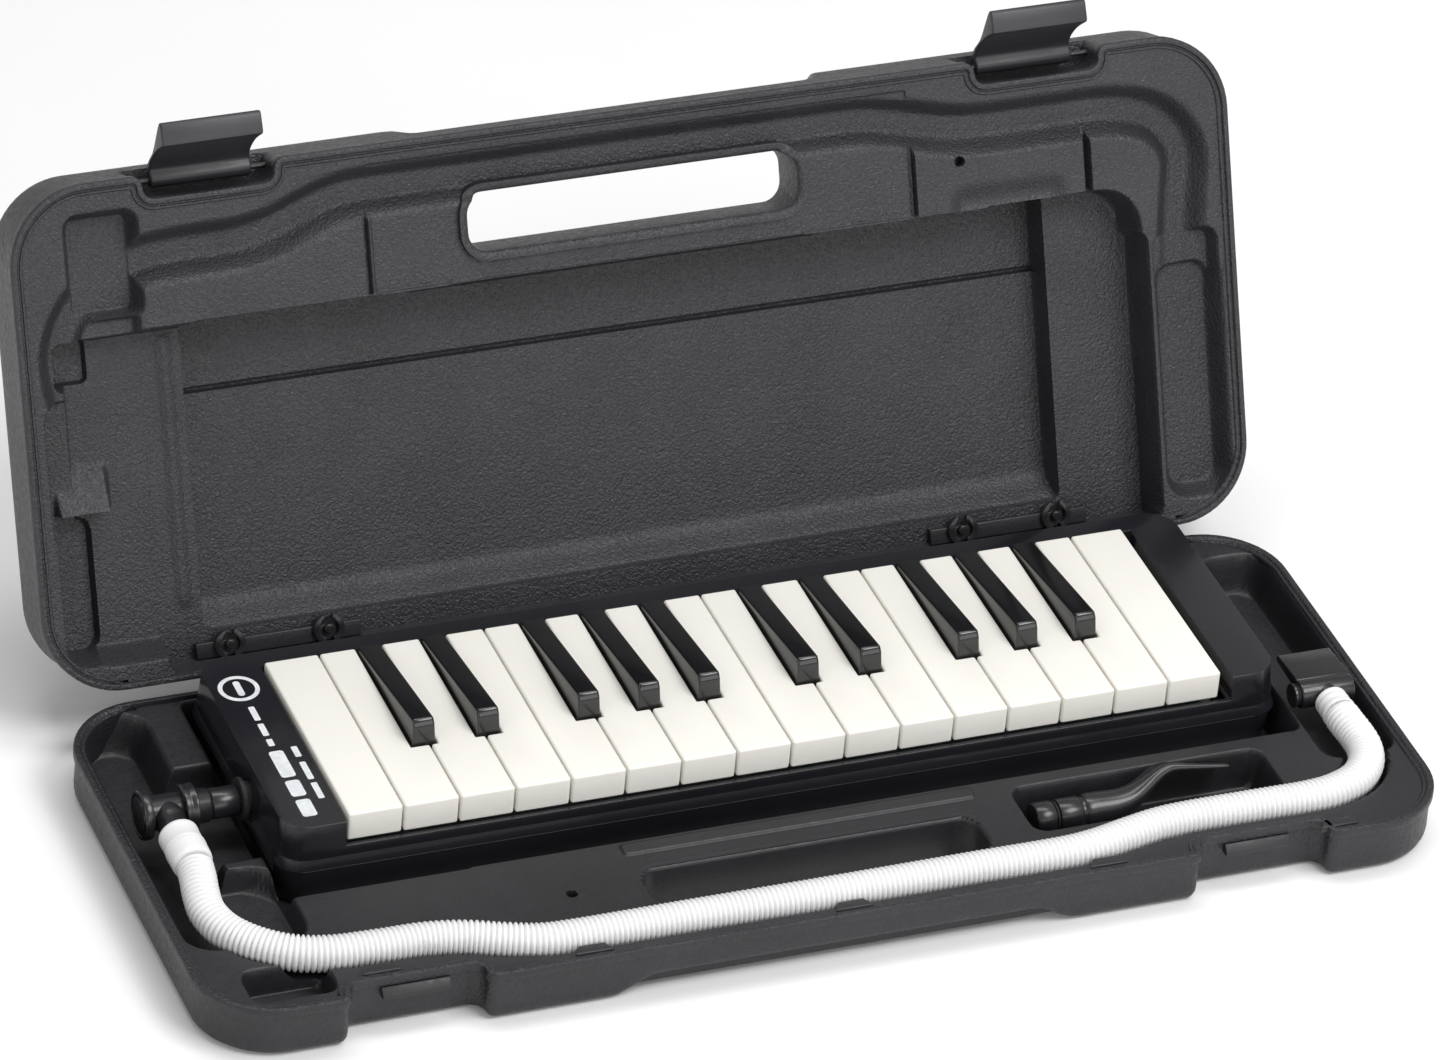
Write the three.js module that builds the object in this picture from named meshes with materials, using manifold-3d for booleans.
// A 26-key melodica in its fitted, open carrying case, with its blowing hose and its short mouthpiece.
// Millimetres. +X runs to the right along the keyboard, +Y to the case's hinges, +Z up.
// The origin is the middle of the case's flat underside.
import * as THREE from "three";
import Module from "manifold-3d";

const wasm = await Module();
wasm.setup();

// ---------------------------------------------------------------- driving dimensions

const GAP = 0.3;                                  // clearance between pieces that touch or turn

const CASE = { width: 450, depth: 176.5, base: 20, lid: 32, corner: 28 };
const BACK = CASE.depth / 2;
const FRONT = -CASE.depth / 2;
const SIDE = CASE.width / 2;
const RIM = CASE.base;                            // height of the parting plane
const LID_OPEN_DEGREES = 113.7;
const HINGE_AXIS = { y: BACK + 2.2, z: RIM };

const HOUSING = { x0: -178.4, x1: 189.5, y0: -17, y1: 85.5, z0: 3, seam: 18, top: 35, wall: 2, corner: 10 };
const KEY_PITCH = 20;
const WHITE_COUNT = 16;
const KEYS_LEFT = -154.3;                         // left edge of the lowest white key
const WHITE = { front: -13.5, back: 75.8, top: 37, skin: 3.2, lip: 11, gap: 0.7 };
const BLACK = { front: 18, tip: 20.5, tipHeight: 9, foot: 8.6, crown: 7.8 };
const PIVOT = { y: 60, z: 24, rod: 1.5, hole: 1.8 };
const WEB = 4.4;                                  // width of the rib under each key
const PAD = { y0: 71, y1: 80, z0: 17, width: 6.4 };

// Black keys by the white key on their left, with their shift off the joint between the two whites.
const BLACK_KEYS = [
  { after: 1, shift: -2.0 }, { after: 2, shift: 1.2 },
  { after: 4, shift: -2.4 }, { after: 5, shift: -0.4 }, { after: 6, shift: 1.6 },
  { after: 8, shift: -2.0 }, { after: 9, shift: 1.2 },
  { after: 11, shift: -2.4 }, { after: 12, shift: -0.4 }, { after: 13, shift: 1.6 },
];

const BLOW = { y: 22.7, z: 22 };                  // axis of the blow hole and the elbow
const HOSE = { z: 22, radius: 6.4, channel: 7.6, floor: 11, sides: 10, steps: 44 };
const HOSE_ROUTE = [                              // centreline from the elbow's cuff to the mouthpiece's
  [-206, -9, 22], [-206.8, -15, 21.5], [-208.2, -23, 20.4], [-208.4, -31, 19.1], [-205.2, -40.5, 18.2],
  [-198, -49.6, 18], [-187.5, -57, 18], [-175, -60.6, 18], [-159, -61.6, 18], [-143, -62, 18],
  [-130, -64.4, 18], [-118, -68.8, 18], [-106, -72.4, 18], [-92, -73.4, 18], [-50, -73.4, 18],
  [0, -73.6, 18], [50, -73.4, 18], [82, -73.4, 18], [96, -72, 18], [109, -69, 18], [122, -66.4, 18],
  [136, -65.6, 18], [158, -65.6, 18], [178, -65.6, 18], [189, -64, 18.1], [198.6, -60, 18.5],
  [205, -53.2, 19.2], [207.4, -46, 20], [207.2, -39.4, 20.9], [206.4, -34, 21.6], [206, -28.8, 22],
];

const LATCH = { x: 152.3, width: 36, pin: { y: FRONT + 4.25, z: RIM + 13 }, openDegrees: 43 };
// The latch's side, from its pin: eye, inner face of the bowed plate, hooked lip, outer face.
const LATCH_SIDE = [
  [-2.3, 1.5], [0, 2.7], [2.2, 1.6], [2.7, -0.6], [1.4, -2.7], [-1.6, -3.6],
  [-2.5, -7.5], [-1.5, -12.8], [-0.1, -17.6], [1.3, -21.2], [2.7, -24.6],
  [-2.9, -28.7], [-4.2, -28.2], [-4.75, -26], [-3.6, -17], [-3.1, -12.2], [-4.1, -7.5], [-4.5, -3.6],
];
const NOTCH = { x0: 126, x1: 178.6, depth: 8.2, lidHeight: 17.5 };
const HINGE = { x: 137, width: 60, knuckle: 2.1, pin: 1, leaf: 1.5 };
const HANDLE_HOLE = { halfWidth: 61, y0: -65.5, y1: -45.5, corner: 7 };

// Hollows of the two halves: x0, x1, y0, y1, the height of the floor or ceiling, and the corner radius.
const BASE_HOLLOWS = {
  melodica: [-181, 192, -29, 85.9, 2.6, 4],
  leftEnd: [-221, -193.5, -50, 85.5, 4, 10],
  elbowWay: [-200, -175, -5, 50, 8, 4],
  smallItems: [-209, -181, -80.5, -64, 8, 5],
  shortMouthpiece: [78, 170, -60.5, -34, 4, 6],
  openPocket: [194, 221, -11, 75, 4, 10],
  hoseMouthpiece: [192.5, 221, -48, 9, 11, 8],
};
const LID_HOLLOWS = {
  housing: [-181, 192, -20, 86, 38.4, 5],
  blackKeys: [-165, 151, -36, 78.5, 48.6, 8],
  elbow: [-218, -178, -16, 50, 33.5, 8],
  leftMiddle: [-215, -196, -42, -19, 30, 6],
  leftBack: [-215, -196, 52, 82, 30, 6],
  leftFront: [-210, -177, -78, -40, 27, 8],
  right: [193, 220, -60, 80, 30, 10],
  shortMouthpiece: [78, 170, -60.5, -36.5, 28.5, 6],
};
const SOCKETS = {
  base: { x: -87, y: -51.4, radius: 2, floor: 6 },
  lid: { x: 122, y: -53.5, radius: 1.8, deep: 6 },
};
const FINGER_ROOM = { halfWidth: 67, back: -78.4, height: 7 };

const COLOURS = {
  casePlastic: [0x1d1d20, 0.62, 0],
  lidPlastic: [0x232326, 0.6, 0],
  latchPlastic: [0x26262a, 0.45, 0],
  blackGloss: [0x08080a, 0.14, 0],
  ivory: [0xf3f0e6, 0.3, 0],
  hose: [0xefeeea, 0.45, 0],
  steel: [0xb9bcc0, 0.3, 1],
  brass: [0xc8a24a, 0.32, 1],
  rubber: [0x161616, 0.8, 0],
  felt: [0x7c1d22, 0.95, 0],
  greyPlastic: [0x55585c, 0.6, 0],
};

// ---------------------------------------------------------------- solid helpers

function toSolid(geometry) {
  const bare = geometry.index ? geometry.toNonIndexed() : geometry;
  const positions = bare.getAttribute("position").array;
  const corners = new Map();
  const vertProperties = [];
  const triVerts = [];
  for (let i = 0; i < positions.length; i += 3) {
    const point = [positions[i], positions[i + 1], positions[i + 2]];
    const key = point.map((value) => Math.round(value * 1e4)).join(",");
    if (!corners.has(key)) {
      corners.set(key, corners.size);
      vertProperties.push(...point);
    }
    triVerts.push(corners.get(key));
  }
  const mesh = new wasm.Mesh({
    numProp: 3,
    vertProperties: new Float32Array(vertProperties),
    triVerts: new Uint32Array(triVerts),
  });
  return new wasm.Manifold(mesh);
}

function toGeometry(solid) {
  const { vertProperties, triVerts } = solid.getMesh();
  const geometry = new THREE.BufferGeometry();
  geometry.setAttribute("position", new THREE.BufferAttribute(new Float32Array(vertProperties), 3));
  geometry.setIndex(new THREE.BufferAttribute(new Uint32Array(triVerts), 1));
  geometry.computeVertexNormals();
  return geometry;
}

const join = (first, ...rest) => rest.reduce((solid, next) => solid.add(next), first);
const cut = (solid, ...tools) => tools.reduce((left, tool) => left.subtract(tool), solid);

// A block between two opposite corners.
function block(x0, x1, y0, y1, z0, z1) {
  const geometry = new THREE.BoxGeometry(x1 - x0, y1 - y0, z1 - z0);
  geometry.translate((x0 + x1) / 2, (y0 + y1) / 2, (z0 + z1) / 2);
  return toSolid(geometry);
}

function roundedRectangle(x0, x1, y0, y1, radius) {
  const shape = new THREE.Shape();
  const quarter = Math.PI / 2;
  shape.absarc(x1 - radius, y0 + radius, radius, -quarter, 0);
  shape.absarc(x1 - radius, y1 - radius, radius, 0, quarter);
  shape.absarc(x0 + radius, y1 - radius, radius, quarter, 2 * quarter);
  shape.absarc(x0 + radius, y0 + radius, radius, 2 * quarter, 3 * quarter);
  shape.closePath();
  return shape;
}

// A plan outline raised from z0 to z1; a bevel rounds both ends and stays inside the outline.
function raise(shape, z0, z1, { bevel = 0, curve = 2 } = {}) {
  const geometry = new THREE.ExtrudeGeometry(shape, {
    depth: z1 - z0 - 2 * bevel,
    steps: 1,
    curveSegments: curve,
    bevelEnabled: bevel > 0,
    bevelThickness: bevel,
    bevelSize: bevel,
    bevelOffset: -bevel,
    bevelSegments: 2,
  });
  geometry.translate(0, 0, z0 + bevel);
  return toSolid(geometry);
}

// A block with upright rounded corners.
function pocket(x0, x1, y0, y1, z0, z1, radius = 5) {
  return raise(roundedRectangle(x0, x1, y0, y1, radius), z0, z1);
}

// A side outline in Y and Z, carried along X from x0 to x1.
function profileAlongX(outline, x0, x1) {
  const section = new THREE.Shape(outline.map(([y, z]) => new THREE.Vector2(y, z)));
  const geometry = new THREE.ExtrudeGeometry(section, {
    depth: x1 - x0,
    steps: 1,
    bevelEnabled: false,
  });
  // The outline's own axes become Y and Z, and its depth becomes X.
  geometry.applyMatrix4(new THREE.Matrix4().makeBasis(
    new THREE.Vector3(0, 1, 0),
    new THREE.Vector3(0, 0, 1),
    new THREE.Vector3(1, 0, 0),
  ));
  geometry.translate(x0, 0, 0);
  return toSolid(geometry);
}

function cylinderX(x0, x1, y, z, radius, sides = 16) {
  const geometry = new THREE.CylinderGeometry(radius, radius, x1 - x0, sides);
  geometry.rotateZ(Math.PI / 2);
  geometry.translate((x0 + x1) / 2, y, z);
  return toSolid(geometry);
}

function cylinderY(x, y0, y1, z, radius, sides = 16) {
  const geometry = new THREE.CylinderGeometry(radius, radius, y1 - y0, sides);
  geometry.translate(x, (y0 + y1) / 2, z);
  return toSolid(geometry);
}

function cylinderZ(x, y, z0, z1, radius, sides = 16) {
  const geometry = new THREE.CylinderGeometry(radius, radius, z1 - z0, sides);
  geometry.rotateX(Math.PI / 2);
  geometry.translate(x, y, (z0 + z1) / 2);
  return toSolid(geometry);
}

// A plan outline that follows the hose's route at a constant half width.
function hoseChannelOutline(halfWidth) {
  const curve = new THREE.SplineCurve(HOSE_ROUTE.map(([x, y]) => new THREE.Vector2(x, y)));
  const left = [];
  const right = [];
  const count = 44;
  for (let i = 0; i <= count; i += 1) {
    const point = curve.getPoint(i / count);
    const along = curve.getTangent(i / count);
    const across = new THREE.Vector2(-along.y, along.x).multiplyScalar(halfWidth);
    left.push(point.clone().add(across));
    right.unshift(point.clone().sub(across));
  }
  return new THREE.Shape([...left, ...right]);
}

const root = new THREE.Group();
root.name = "melodica_in_case";

function addPart(parent, name, solid, [color, roughness, metalness]) {
  const material = new THREE.MeshStandardMaterial({ color, roughness, metalness });
  const mesh = new THREE.Mesh(toGeometry(solid), material);
  mesh.name = name;
  parent.add(mesh);
  return mesh;
}

const serial = (number) => String(number).padStart(2, "0");

// ---------------------------------------------------------------- carrying case

function caseOutline(inset) {
  return roundedRectangle(-SIDE + inset, SIDE - inset, FRONT + inset, BACK - inset, CASE.corner - inset);
}

// Both halves step back in front where the two latches close over them.
function latchNotches(z0, z1) {
  return [-1, 1].map((side) => {
    const middle = side * (NOTCH.x0 + NOTCH.x1) / 2;
    const half = (NOTCH.x1 - NOTCH.x0) / 2;
    return block(middle - half, middle + half, FRONT - 5, FRONT + NOTCH.depth, z0, z1);
  });
}

// The lip on the base that each latch's own lip hooks under.
function catchLip(side) {
  const wall = FRONT + NOTCH.depth;
  const lip = [
    [wall + 0.5, 16], [wall, 16], [wall - 2.2, 14],
    [wall - 2.2, 12.2], [wall, 12.2], [wall + 0.5, 12.2],
  ];
  return profileAlongX(lip.reverse(), side * LATCH.x - 12, side * LATCH.x + 12);
}

function handleHole(z0, z1) {
  const { halfWidth, y0, y1, corner } = HANDLE_HOLE;
  return pocket(-halfWidth, halfWidth, y0, y1, z0, z1, corner);
}

function caseBase() {
  const above = RIM + 5;
  const land = RIM - 1.4;
  const shell = raise(caseOutline(0), 0, RIM, { bevel: 2.5, curve: 3 });
  const crisp = raise(caseOutline(0), 6, RIM, { curve: 3 });
  const hollows = Object.values(BASE_HOLLOWS).map(
    ([x0, x1, y0, y1, floor, corner]) => pocket(x0, x1, y0, y1, floor, above, corner),
  );
  const { halfWidth, back, height } = FINGER_ROOM;
  const { x, y, radius, floor } = SOCKETS.base;
  const body = cut(
    join(shell, crisp),
    ...latchNotches(-5, above),
    raise(caseOutline(4), land, above, { curve: 3 }),                   // lands lie below the rim
    ...hollows,
    raise(hoseChannelOutline(HOSE.channel), HOSE.floor, above),
    handleHole(-5, above),
    block(-halfWidth, halfWidth, FRONT - 5, back, -5, height),
    cylinderZ(x, y, floor, above, radius, 10),
  );
  return join(body, ...[-1, 1].map(catchLip));
}

// The lid is drawn shut, over the base.
function caseLid() {
  const rim = RIM + GAP;
  const top = RIM + CASE.lid;
  const below = RIM - 5;
  const shell = raise(caseOutline(0), rim, top, { bevel: 4, curve: 3 });
  const crisp = raise(caseOutline(0), rim, top - 10, { curve: 3 });
  const hollows = Object.values(LID_HOLLOWS).map(
    ([x0, x1, y0, y1, ceiling, corner]) => pocket(x0, x1, y0, y1, below, ceiling, corner),
  );
  const { x, y, radius, deep } = SOCKETS.lid;
  return cut(
    join(shell, crisp),
    raise(caseOutline(4), below, rim + 1.2, { curve: 3 }),              // lands lie inside the rim
    ...hollows,
    raise(hoseChannelOutline(HOSE.channel), below, RIM + 9.6),
    handleHole(below, top + 5),
    ...latchNotches(below, RIM + NOTCH.lidHeight),
    cylinderZ(x, y, below, rim + deep, radius, 10),
    ...latchPinHoles(),
  );
}

function latchPinHoles() {
  const { y, z } = LATCH.pin;
  const reach = (NOTCH.x1 - NOTCH.x0) / 2 + 3;
  const middle = (NOTCH.x0 + NOTCH.x1) / 2;
  return [-1, 1].map((side) => cylinderX(side * middle - reach, side * middle + reach, y, z, 1.5, 12));
}

// A latch is drawn hanging shut in front of the base, its lip hooked under the base's lip.
function latch(side) {
  const { x, width, pin } = LATCH;
  const half = width / 2;
  const outline = LATCH_SIDE.map(([across, up]) => [pin.y + across, pin.z + up]);
  const body = profileAlongX(outline, side * x - half, side * x + half);
  return cut(body, cylinderX(side * x - half - 1, side * x + half + 1, pin.y, pin.z, 1.3, 12));
}

function latchPin(side) {
  const { x, pin } = LATCH;
  const half = (NOTCH.x1 - NOTCH.x0) / 2 + 2;
  return cylinderX(side * x - half, side * x + half, pin.y, pin.z, 1, 10);
}

// The back hinges: a leaf on each half, with knuckles that take turns along one pin.
function hingeKnuckle(x0, x1) {
  const { y, z } = HINGE_AXIS;
  return cylinderX(x0, x1, y, z, HINGE.knuckle, 14);
}

function hingeBore(side) {
  const { y, z } = HINGE_AXIS;
  const half = HINGE.width / 2 + 1;
  return cylinderX(side * HINGE.x - half, side * HINGE.x + half, y, z, HINGE.pin + GAP, 12);
}

function hingeBaseLeaf(side) {
  const x0 = side * HINGE.x - HINGE.width / 2;
  const x1 = side * HINGE.x + HINGE.width / 2;
  const third = HINGE.width / 3;
  const back = BACK + GAP;
  return cut(
    join(
      block(x0, x1, back, back + HINGE.leaf, 5, RIM - 2.6),
      block(x0, x0 + third - GAP, back, back + HINGE.leaf, RIM - 3, RIM),
      block(x1 - third + GAP, x1, back, back + HINGE.leaf, RIM - 3, RIM),
      hingeKnuckle(x0, x0 + third - GAP),
      hingeKnuckle(x1 - third + GAP, x1),
    ),
    hingeBore(side),
  );
}

function hingeLidLeaf(side) {
  const x0 = side * HINGE.x - HINGE.width / 2;
  const x1 = side * HINGE.x + HINGE.width / 2;
  const third = HINGE.width / 3;
  const back = BACK + GAP;
  return cut(
    join(
      block(x0, x1, back, back + HINGE.leaf, RIM + 2.6, RIM + 15),
      block(x0 + third + GAP, x1 - third - GAP, back, back + HINGE.leaf, RIM, RIM + 3),
      hingeKnuckle(x0 + third + GAP, x1 - third - GAP),
    ),
    hingeBore(side),
  );
}

function hingePin(side) {
  const { y, z } = HINGE_AXIS;
  const half = HINGE.width / 2;
  return cylinderX(side * HINGE.x - half, side * HINGE.x + half, y, z, HINGE.pin, 10);
}

// ---------------------------------------------------------------- melodica housing

const LEFT_BLOCK = -155;                          // inner edges of the blocks beside the keys
const RIGHT_BLOCK = 169.5;
const RAIL_TOP = 25.6;
const RAIL_BACK = -14.2;
const REAR_STRIP = 76.3;
const SCREWS = [[-168, -8], [-168, 72], [180, -8], [180, 72]];

function housingOutline(inset) {
  const { x0, x1, y0, y1, corner } = HOUSING;
  return roundedRectangle(x0 + inset, x1 - inset, y0 + inset, y1 - inset, corner - inset);
}

// The round way in for air, through the left end of both shells.
function blowHole() {
  return cylinderX(HOUSING.x0 - 5, LEFT_BLOCK + 5, BLOW.y, BLOW.z, 6.3, 20);
}

function housingTop() {
  const { x0, x1, y1, seam, top, wall } = HOUSING;
  const bottom = seam + 0.15;
  const roof = top - wall;
  const under = bottom - 5;
  const shell = join(
    raise(housingOutline(0), bottom, top, { bevel: 1.2, curve: 2 }),
    raise(housingOutline(0), bottom, top - 4, { curve: 2 }),
  );
  const hollow = cut(
    shell,
    pocket(x0 + wall, LEFT_BLOCK - wall, RAIL_BACK, y1 - wall, under, roof, 4),
    block(LEFT_BLOCK, RIGHT_BLOCK, RAIL_BACK, y1 - wall, under, roof),
    pocket(RIGHT_BLOCK + wall, x1 - wall, RAIL_BACK, y1 - wall, under, roof, 4),
    block(LEFT_BLOCK, RIGHT_BLOCK, HOUSING.y0 - 5, REAR_STRIP, RAIL_TOP, top + 5),
    blowHole(),
    cylinderX(LEFT_BLOCK - wall - 1, RIGHT_BLOCK + wall + 1, PIVOT.y, PIVOT.z, PIVOT.rod + GAP, 12),
  );
  const bosses = SCREWS.map(([x, y]) => cylinderZ(x, y, bottom, roof + 0.5, 3.6, 14));
  const pilots = SCREWS.map(([x, y]) => cylinderZ(x, y, under, top - 4, 1.7, 12));
  return cut(join(hollow, ...bosses), ...pilots);
}

function housingBottom() {
  const { x0, x1, y0, y1, z0, seam, wall } = HOUSING;
  const top = seam - 0.15;
  const shell = raise(housingOutline(0.6), z0, top, { curve: 2 });
  const hollow = cut(shell, pocket(x0 + 3, x1 - 3, y0 + 3, y1 - 2.6, z0 + wall, top + 5, 7));
  const bosses = SCREWS.map(([x, y]) => cylinderZ(x, y, z0 + 1, top, 4.4, 14));
  const holes = SCREWS.flatMap(([x, y]) => [
    cylinderZ(x, y, z0 - 1, z0 + 2.6, 3.3, 14),
    cylinderZ(x, y, z0 - 1, top + 1, 1.8, 12),
  ]);
  return cut(join(hollow, ...bosses), ...holes, blowHole());
}

function housingScrew([x, y]) {
  const z0 = HOUSING.z0 + 0.2;
  return cut(
    join(cylinderZ(x, y, z0, z0 + 2, 3, 14), cylinderZ(x, y, z0 + 1, 28, 1.4, 10)),
    block(x - 2, x + 2, y - 0.4, y + 0.4, z0 - 1, z0 + 0.8),
  );
}

// ---------------------------------------------------------------- keys

// The lever under a key: a rib that rocks on the rod, with a pad foot behind it.
function keyLever(x, front) {
  const rib = [
    [front, 27.2], [40, 24.4], [52, 21.2], [57, 20.4], [63, 20.4], [67, 22], [PAD.y0, 22.6],
    [PAD.y0, 19], [PAD.y1, 19], [PAD.y1, 30.4], [WHITE.back - 0.6, 31.6], [WHITE.back - 0.6, 35], [front, 35],
  ];
  const foot = block(x - PAD.width / 2, x + PAD.width / 2, PAD.y0, PAD.y1, PAD.z0, 19.4);
  return join(profileAlongX(rib, x - WEB / 2, x + WEB / 2), foot);
}

function rodHole(x) {
  return cylinderX(x - WEB, x + WEB, PIVOT.y, PIVOT.z, PIVOT.hole, 12);
}

const jointX = (index) => KEYS_LEFT + KEY_PITCH * index;
const blackX = ({ after, shift }) => jointX(after + 1) + shift;

function whiteKey(index) {
  const { front, back, top, skin, lip, gap } = WHITE;
  const x0 = jointX(index) + gap / 2;
  const x1 = jointX(index + 1) - gap / 2;
  const side = [
    [front + 0.8, top], [front + 0.2, top - 0.5], [front, top - 1.4], [front, top - lip],
    [front + 1.8, top - lip], [front + 1.8, top - skin], [back, top - skin], [back, top],
  ];
  const skinSolid = profileAlongX(side, x0, x1);
  const room = BLACK.foot / 2 + 0.5;
  const notches = BLACK_KEYS.map(blackX)
    .filter((x) => x > x0 - room && x < x1 + room)
    .map((x) => block(x - room, x + room, BLACK.front - 0.8, back + 5, top - lip, top + 5));
  const x = (x0 + x1) / 2;
  return cut(join(cut(skinSolid, ...notches), keyLever(x, front + 1)), rodHole(x));
}

// A wedge that stands high at its front tip and runs down level with the whites at the back.
function blackKey(key) {
  const x = blackX(key);
  const { top, back } = WHITE;
  const crownTop = top + BLACK.tipHeight;
  const foot = BLACK.foot / 2;
  const crown = BLACK.crown / 2;
  const side = [
    [BLACK.front, top - 3], [BLACK.front, top + 0.4],
    [BLACK.tip - 1.6, crownTop - 1.8], [BLACK.tip - 0.9, crownTop - 0.6],
    [BLACK.tip + 0.6, crownTop], [back, top + 0.6], [back, top - 3],
  ];
  const body = profileAlongX(side, x - foot, x + foot);
  // Slanted flanks take the body from its foot width down to its crown width.
  const flanks = [-1, 1].map((sign) => {
    const outline = new THREE.Shape([
      new THREE.Vector2(x + sign * foot, top),
      new THREE.Vector2(x + sign * crown, crownTop + 1),
      new THREE.Vector2(x + sign * (foot + 3), crownTop + 1),
      new THREE.Vector2(x + sign * (foot + 3), top),
    ]);
    const geometry = new THREE.ExtrudeGeometry(outline, { depth: 80, steps: 1, bevelEnabled: false });
    geometry.rotateX(Math.PI / 2);
    geometry.translate(0, back + 2, 0);
    return toSolid(geometry);
  });
  return cut(join(cut(body, ...flanks), keyLever(x, BLACK.front + 0.4)), rodHole(x));
}

function keyRod() {
  const reach = HOUSING.wall - GAP;
  return cylinderX(LEFT_BLOCK - reach, RIGHT_BLOCK + reach, PIVOT.y, PIVOT.z, PIVOT.rod, 12);
}

// ---------------------------------------------------------------- wind chamber, reeds and springs

const CHAMBER = { x0: -152.5, x1: 166.5, y0: 36, y1: 82.4, z0: 5.3, z1: 13.9, wall: 2 };

function leverPositions() {
  const whites = Array.from({ length: WHITE_COUNT }, (_, i) => (jointX(i) + jointX(i + 1)) / 2);
  return [...whites, ...BLACK_KEYS.map(blackX)].sort((a, b) => a - b);
}

function windChamber() {
  const { x0, x1, y0, y1, z0, z1, wall } = CHAMBER;
  return cut(
    block(x0, x1, y0, y1, z0, z1),
    block(x0 + wall, x1 - wall, y0 + wall, y1 - wall, z0 + wall, z1 + 1),
  );
}

function chamberGasket() {
  const { x0, x1, y0, y1, z1, wall } = CHAMBER;
  return cut(
    block(x0, x1, y0, y1, z1 + GAP, z1 + 1),
    block(x0 + wall, x1 - wall, y0 + wall, y1 - wall, z1, z1 + 2),
  );
}

// The plate has one slot under each pad; its reeds hang below it, longest at the low end.
function reedPlate() {
  const { x0, x1, y0, y1, z1 } = CHAMBER;
  const bottom = z1 + 1 + GAP;
  const top = PAD.z0 - GAP;
  const levers = leverPositions();
  const slots = levers.map((x) => block(x - 1.6, x + 1.6, PAD.y0 + 2, PAD.y1 - 2, bottom - 1, top + 1));
  const reeds = levers.map((x, i) => {
    const length = 28 - 14 * (i / (levers.length - 1));
    return block(x - 1.4, x + 1.4, PAD.y0 - length, PAD.y0 - 1, bottom - 1, bottom + 0.2);
  });
  return join(cut(block(x0, x1, y0, y1, bottom, top), ...slots), ...reeds);
}

// One strip of leaf springs, a finger under each lever.
function springComb() {
  const { x0, x1 } = CHAMBER;
  const outline = [new THREE.Vector2(x0, 27), new THREE.Vector2(x1, 27), new THREE.Vector2(x1, 33)];
  for (const x of leverPositions().reverse()) {
    outline.push(
      new THREE.Vector2(x + 1.5, 33),
      new THREE.Vector2(x + 1.5, 54),
      new THREE.Vector2(x - 1.5, 54),
      new THREE.Vector2(x - 1.5, 33),
    );
  }
  outline.push(new THREE.Vector2(x0, 33));
  return raise(new THREE.Shape(outline), 19.2, 19.8);
}

function keyBed() {
  return join(
    block(CHAMBER.x0, CHAMBER.x1, -6, 4, 5.3, 21.2),
    block(CHAMBER.x0, CHAMBER.x1, -6, 33, 5.3, 7.3),
    block(CHAMBER.x0, CHAMBER.x1, 26, 33, 5.3, 18.9),
  );
}

function keyFelt() {
  return block(CHAMBER.x0, CHAMBER.x1, -5.6, 3.6, 21.4, 22.8);
}

function blowSocket() {
  return cut(
    join(
      cylinderX(HOUSING.x0 - 1.8, HOUSING.x0 - GAP, BLOW.y, BLOW.z, 7.6, 20),
      cylinderX(HOUSING.x0 - 1, LEFT_BLOCK + 1.5, BLOW.y, BLOW.z, 6, 20),
    ),
    cylinderX(HOUSING.x0 - 5, LEFT_BLOCK + 5, BLOW.y, BLOW.z, 4.6, 20),
  );
}

// ---------------------------------------------------------------- hose and mouthpieces

const ELBOW_X = -206;
const CUFF = { outer: 7, inner: 5.4 };

function elbow() {
  const { y, z } = BLOW;
  return join(
    cylinderX(-215.4, -213, y, z, 8.8, 24),
    cylinderX(-213.5, -190.5, y, z, 5.8, 20),
    cylinderX(-191, -181.2, y, z, 4.9, 20),
    cylinderX(-181.6, -163, y, z, 4.2, 18),
    cylinderY(ELBOW_X, -7.4, y, z, 5, 18),
  );
}

function elbowClip() {
  const { y, z } = BLOW;
  return cut(cylinderX(-200.6, -196, y, z, 8.4, 24), cylinderX(-202, -195, y, z, 6.1, 20));
}

function hoseCuff(x, y0, y1, outer, inner) {
  return cut(cylinderY(x, y0, y1, HOSE.z, outer, 20), cylinderY(x, y0 - 1, y1 + 1, HOSE.z, inner, 18));
}

function hoseTube() {
  const points = HOSE_ROUTE.map(([x, y, z]) => new THREE.Vector3(x, y, z));
  const section = new THREE.Shape();
  section.absarc(0, 0, HOSE.radius, 0, 2 * Math.PI);
  const geometry = new THREE.ExtrudeGeometry(section, {
    steps: HOSE.steps,
    curveSegments: HOSE.sides / 2,
    bevelEnabled: false,
    extrudePath: new THREE.CatmullRomCurve3(points),
  });
  return toSolid(geometry);
}

const TUBE_MOUTH = { x: 206, y: -14, half: 10 };

// The hose's own mouthpiece: a cross barrel with a flat beak at the back and a spigot for the cuff.
function hoseMouthpiece() {
  const { x, y, half } = TUBE_MOUTH;
  const { z } = HOSE;
  const beak = [[y + 2, z + 1], [y + 2, z + 4.8], [y + 12, z + 4], [y + 19, z + 3.6], [y + 19, z + 1.4]];
  return join(
    cylinderX(x - half, x + half, y, z, 5, 20),
    cylinderX(x - half - 2.4, x - half + 0.5, y, z, 4.2, 18),
    profileAlongX(beak, x - half, x + half),
    cylinderY(x, -27.6, y, z, 4, 16),
  );
}

const SHORT = { x: 84, y: -45, z: 12.4, tilt: 35, body: 5.4 };

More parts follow.
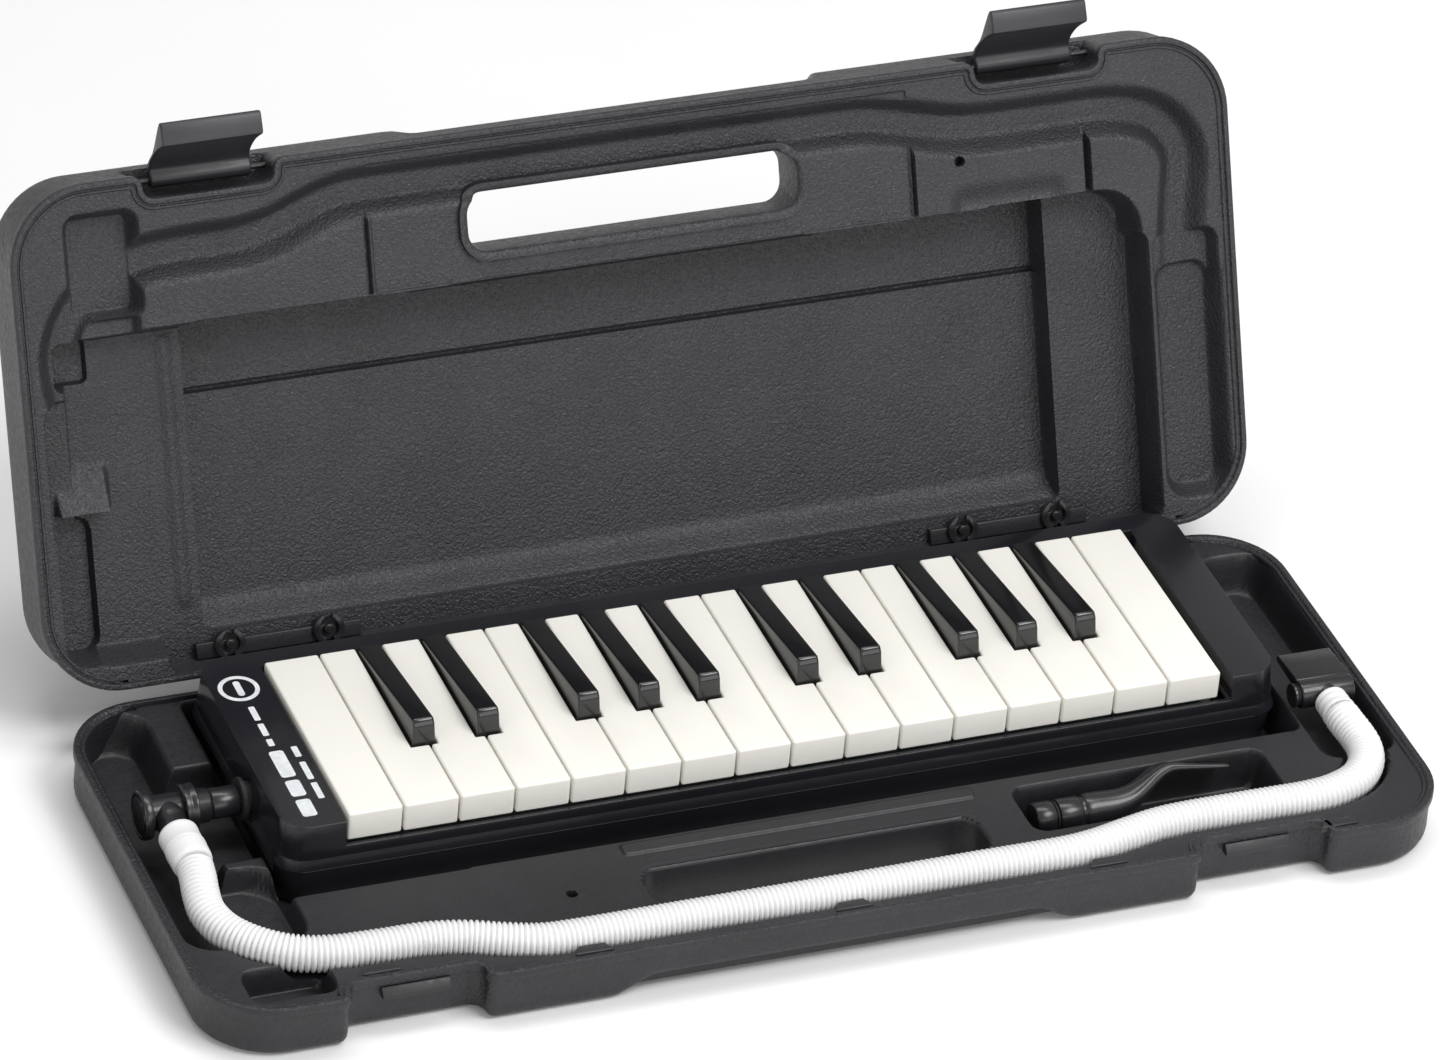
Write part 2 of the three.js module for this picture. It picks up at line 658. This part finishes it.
// Side outline of the short mouthpiece along its own length (u) and rise (v): a goose neck.
function shortMouthpiece() {
  const { x, y, z, tilt, body } = SHORT;
  const upper = new THREE.SplineCurve([
    new THREE.Vector2(19, body), new THREE.Vector2(31, body + 0.4), new THREE.Vector2(41, 9),
    new THREE.Vector2(50, 12.2), new THREE.Vector2(60, 11), new THREE.Vector2(73, 8.6),
  ]);
  const lower = new THREE.SplineCurve([
    new THREE.Vector2(73, 7), new THREE.Vector2(60, 8), new THREE.Vector2(51, 7.6),
    new THREE.Vector2(42, 1), new THREE.Vector2(31, -body), new THREE.Vector2(19, -body),
  ]);
  const neck = new THREE.ExtrudeGeometry(new THREE.Shape([...upper.getPoints(12), ...lower.getPoints(12)]), {
    depth: 2 * body,
    steps: 1,
    bevelEnabled: false,
  });
  neck.translate(0, 0, -body);
  // Lay the outline's rise upright, with its width across.
  neck.rotateX(Math.PI / 2);
  const parts = join(
    toSolid(neck),
    cylinderX(8.6, 20, 0, 0, body, 20),
    cylinderX(7, 10, 0, 0, 4.2, 18),
    cylinderX(0, 7.4, 0, 0, body, 20),
  );
  return parts.rotate([-tilt, 0, 0]).translate([x, y, z]);
}

function shortMouthpieceRing() {
  const { x, y, z } = SHORT;
  return cut(
    cylinderX(x + 7.6, x + 8.4, y, z, 5.2, 18),
    cylinderX(x + 7, x + 9, y, z, 4.5, 18),
  );
}

// ---------------------------------------------------------------- assembly

addPart(root, "case_base", caseBase(), COLOURS.casePlastic);
addPart(root, "hinge_base_leaf_left", hingeBaseLeaf(-1), COLOURS.casePlastic);
addPart(root, "hinge_base_leaf_right", hingeBaseLeaf(1), COLOURS.casePlastic);
addPart(root, "hinge_pin_left", hingePin(-1), COLOURS.steel);
addPart(root, "hinge_pin_right", hingePin(1), COLOURS.steel);

// The lid group turns about the hinge axis; its pieces are drawn shut.
const lid = new THREE.Group();
lid.name = "lid";
lid.position.set(0, HINGE_AXIS.y, HINGE_AXIS.z);
lid.rotation.x = -THREE.MathUtils.degToRad(LID_OPEN_DEGREES);
const lidFrame = new THREE.Group();
lidFrame.position.set(0, -HINGE_AXIS.y, -HINGE_AXIS.z);
lid.add(lidFrame);
root.add(lid);
addPart(lidFrame, "case_lid", caseLid(), COLOURS.lidPlastic);
addPart(lidFrame, "hinge_lid_leaf_left", hingeLidLeaf(-1), COLOURS.casePlastic);
addPart(lidFrame, "hinge_lid_leaf_right", hingeLidLeaf(1), COLOURS.casePlastic);

for (const [name, side] of [["left", -1], ["right", 1]]) {
  addPart(lidFrame, `latch_pin_${name}`, latchPin(side), COLOURS.steel);
  const swing = new THREE.Group();
  swing.position.set(0, LATCH.pin.y, LATCH.pin.z);
  swing.rotation.x = -THREE.MathUtils.degToRad(LATCH.openDegrees);
  const latchFrame = new THREE.Group();
  latchFrame.position.set(0, -LATCH.pin.y, -LATCH.pin.z);
  swing.add(latchFrame);
  lidFrame.add(swing);
  addPart(latchFrame, `latch_${name}`, latch(side), COLOURS.latchPlastic);
}

addPart(root, "housing_top", housingTop(), COLOURS.blackGloss);
addPart(root, "housing_bottom", housingBottom(), COLOURS.blackGloss);
SCREWS.forEach((place, i) => addPart(root, `housing_screw_${i + 1}`, housingScrew(place), COLOURS.steel));
addPart(root, "key_rod", keyRod(), COLOURS.steel);
addPart(root, "key_bed", keyBed(), COLOURS.greyPlastic);
addPart(root, "key_felt", keyFelt(), COLOURS.felt);
addPart(root, "spring_comb", springComb(), COLOURS.steel);
addPart(root, "wind_chamber", windChamber(), COLOURS.greyPlastic);
addPart(root, "chamber_gasket", chamberGasket(), COLOURS.rubber);
addPart(root, "reed_plate", reedPlate(), COLOURS.brass);
addPart(root, "blow_socket", blowSocket(), COLOURS.rubber);
for (let i = 0; i < WHITE_COUNT; i += 1) {
  addPart(root, `white_key_${serial(i + 1)}`, whiteKey(i), COLOURS.ivory);
}
BLACK_KEYS.forEach((key, i) => {
  addPart(root, `black_key_${serial(i + 1)}`, blackKey(key), COLOURS.blackGloss);
});

addPart(root, "hose_elbow", elbow(), COLOURS.blackGloss);
addPart(root, "elbow_clip", elbowClip(), COLOURS.blackGloss);
addPart(root, "hose_cuff_left", hoseCuff(ELBOW_X, -8, 9, CUFF.outer, CUFF.inner), COLOURS.hose);
addPart(root, "hose_tube", hoseTube(), COLOURS.hose);
addPart(root, "hose_cuff_right", hoseCuff(TUBE_MOUTH.x, -28, -19.6, 5.9, 4.3), COLOURS.hose);
addPart(root, "hose_mouthpiece", hoseMouthpiece(), COLOURS.blackGloss);
addPart(root, "short_mouthpiece", shortMouthpiece(), COLOURS.blackGloss);
addPart(root, "short_mouthpiece_ring", shortMouthpieceRing(), COLOURS.rubber);

export default root;
